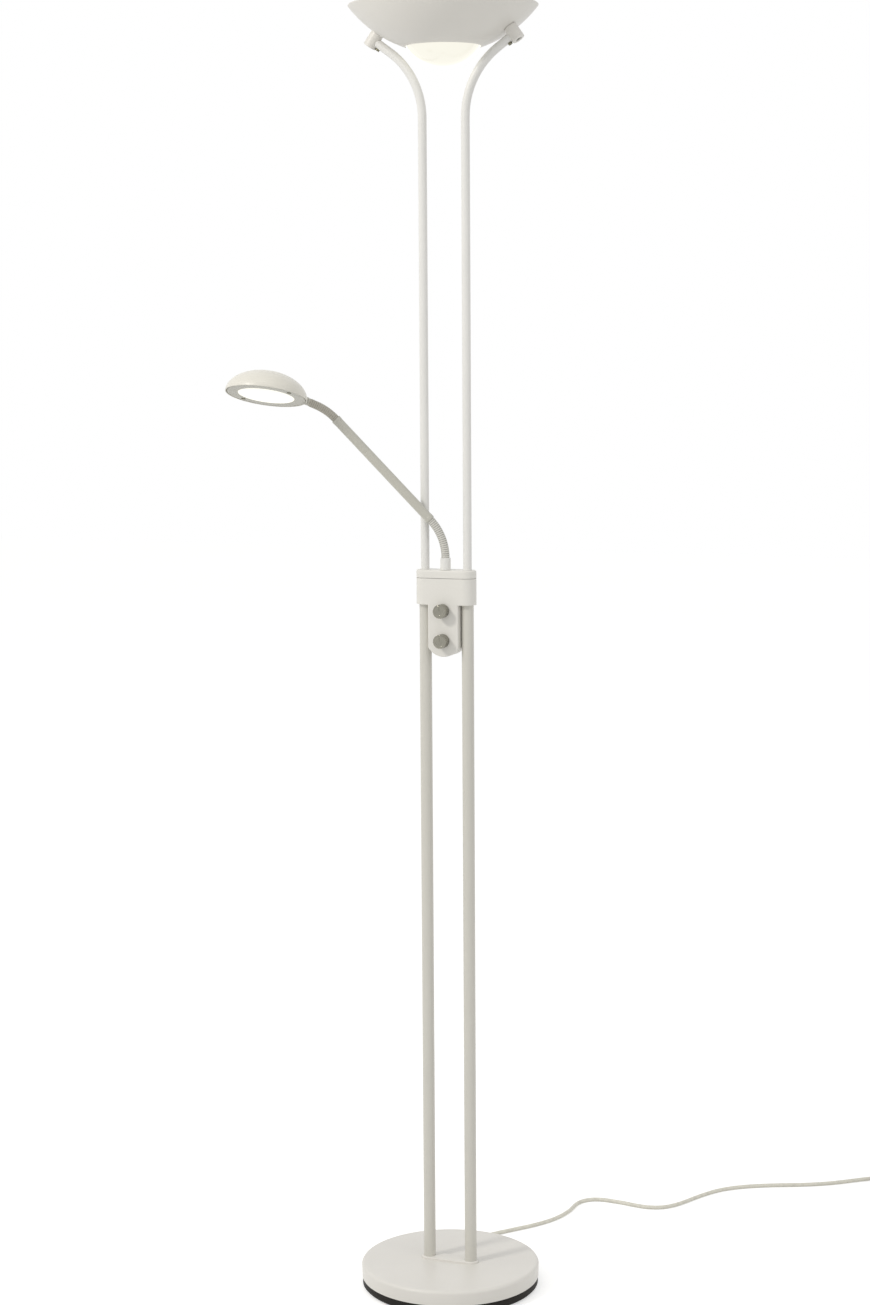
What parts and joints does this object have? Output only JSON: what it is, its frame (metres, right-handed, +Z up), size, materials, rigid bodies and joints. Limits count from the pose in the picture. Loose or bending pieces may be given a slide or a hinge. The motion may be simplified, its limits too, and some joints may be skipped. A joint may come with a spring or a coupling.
{
  "type": "torchiere floor lamp with reading light",
  "caption": "Floor lamp on a round weighted base with twin masts, an upward bowl with a lit lens below it, a flexible reading arm and turning dimmer knobs.",
  "frame": {"origin": "centre of the base's underside, on the floor", "axes": "+Z up the lamp, +X towards the right mast seen from the control box's side, -Y the side the control knobs face"},
  "size_m": [0.9303, 0.8356, 1.8],
  "materials": {
    "white_lacquer": "satin off-white powder coat",
    "white_plastic": "satin off-white moulded plastic",
    "black_plastic": "matt black moulded plastic",
    "felt": "black felt",
    "cast_weight": "as cast",
    "zinc_steel": "zinc plated",
    "knob_chrome": "polished",
    "driver_plastic": "matt white moulded plastic",
    "board_green": "green lacquered circuit board",
    "board_white": "white lacquered aluminium board",
    "bare_aluminium": "bare",
    "opal_glass": "lit opal glass",
    "opal_plastic": "lit opal plastic",
    "neck_steel": "pale grey lacquer on wound steel strip",
    "bush_plastic": "acetal",
    "cord_plastic": "pale grey flexible plastic",
    "pin_brass": "nickel plated"
  },
  "bodies": {
    "stand": {"base_cover": "white_lacquer", "foot_plate": "white_lacquer", "lower_tube_left": "white_lacquer", "lower_tube_right": "white_lacquer", "upper_tube_left": "white_lacquer", "upper_tube_right": "white_lacquer", "bowl_fitting_left": "white_lacquer", "bowl_fitting_right": "white_lacquer", "bowl_shell": "white_lacquer", "box_housing": "white_plastic", "box_back_cover": "white_plastic", "box_lid": "white_plastic", "base_tray": "black_plastic", "base_felt": "felt", "base_weight": "cast_weight", "mast_studs": "zinc_steel", "mast_nuts": "zinc_steel", "mast_spacers": "zinc_steel", "tube_couplers": "zinc_steel", "mast_bridge": "zinc_steel", "box_screws": "zinc_steel", "dimmer_nuts": "zinc_steel", "bowl_bolts": "zinc_steel", "bowl_nuts": "zinc_steel", "fitting_grub_screws": "zinc_steel", "carrier_screws": "zinc_steel", "lamp_carrier": "zinc_steel", "led_driver": "driver_plastic", "main_dimmer": "driver_plastic", "reading_dimmer": "driver_plastic", "control_board": "board_green", "downlight_board": "board_white", "uplight_board": "board_white", "lamp_heat_sink": "bare_aluminium", "downlight_lens": "opal_glass", "uplight_diffuser": "opal_plastic", "swivel_bush": "bush_plastic", "cord_relief": "cord_plastic", "cord_lead": "cord_plastic", "cord_coil": "cord_plastic", "cord_plug": "cord_plastic", "cord_tie": "cord_plastic", "plug_pins": "pin_brass"},
    "arm_foot": {"arm_ferrule": "white_lacquer", "arm_lock_nut": "zinc_steel", "lower_neck": "neck_steel"},
    "reading_arm": {"arm_tube": "white_lacquer", "upper_neck": "neck_steel"},
    "head_mount": {"neck_end_fitting": "white_lacquer", "head_mount_nut": "zinc_steel"},
    "reading_head": {"head_dome": "white_lacquer", "head_heat_sink": "bare_aluminium", "head_led_board": "board_white", "head_ring": "white_lacquer", "head_diffuser": "opal_plastic", "head_screws": "zinc_steel"},
    "main_control": {"main_knob": "knob_chrome", "main_shaft": "zinc_steel"},
    "reading_control": {"reading_knob": "knob_chrome", "reading_shaft": "zinc_steel"}
  },
  "joints": [
    {"name": "arm_swivel", "type": "hinge", "parent": "stand", "child": "arm_foot", "pos_m": [0, -0.003, 1.032], "axis": [0, 0, 1], "range_deg": [0, 139.5]},
    {"name": "lower_neck_bend", "type": "hinge", "parent": "arm_foot", "child": "reading_arm", "pos_m": [-0.00504, -0.00486, 1.07742], "axis": [0.3461, -0.9382, 0], "range_deg": [-20, 75], "deforming": ["lower_neck"]},
    {"name": "upper_neck_bend", "type": "hinge", "parent": "reading_arm", "child": "head_mount", "pos_m": [-0.15249, -0.05926, 1.25268], "axis": [0.3461, -0.9382, 0], "range_deg": [-40, 50], "deforming": ["upper_neck"]},
    {"name": "head_turn", "type": "hinge", "parent": "head_mount", "child": "reading_head", "pos_m": [-0.17544, -0.06772, 1.26544], "axis": [-0.8557, -0.3157, 0.4099], "range_deg": [-40, 40]},
    {"name": "main_knob_turn", "type": "hinge", "parent": "stand", "child": "main_control", "pos_m": [0, -0.0163, 0.976], "axis": [0, -1, 0], "range_deg": [-280, 0]},
    {"name": "reading_knob_turn", "type": "hinge", "parent": "stand", "child": "reading_control", "pos_m": [0, -0.0163, 0.934], "axis": [0, -1, 0], "range_deg": [-280, 0]}
  ]
}
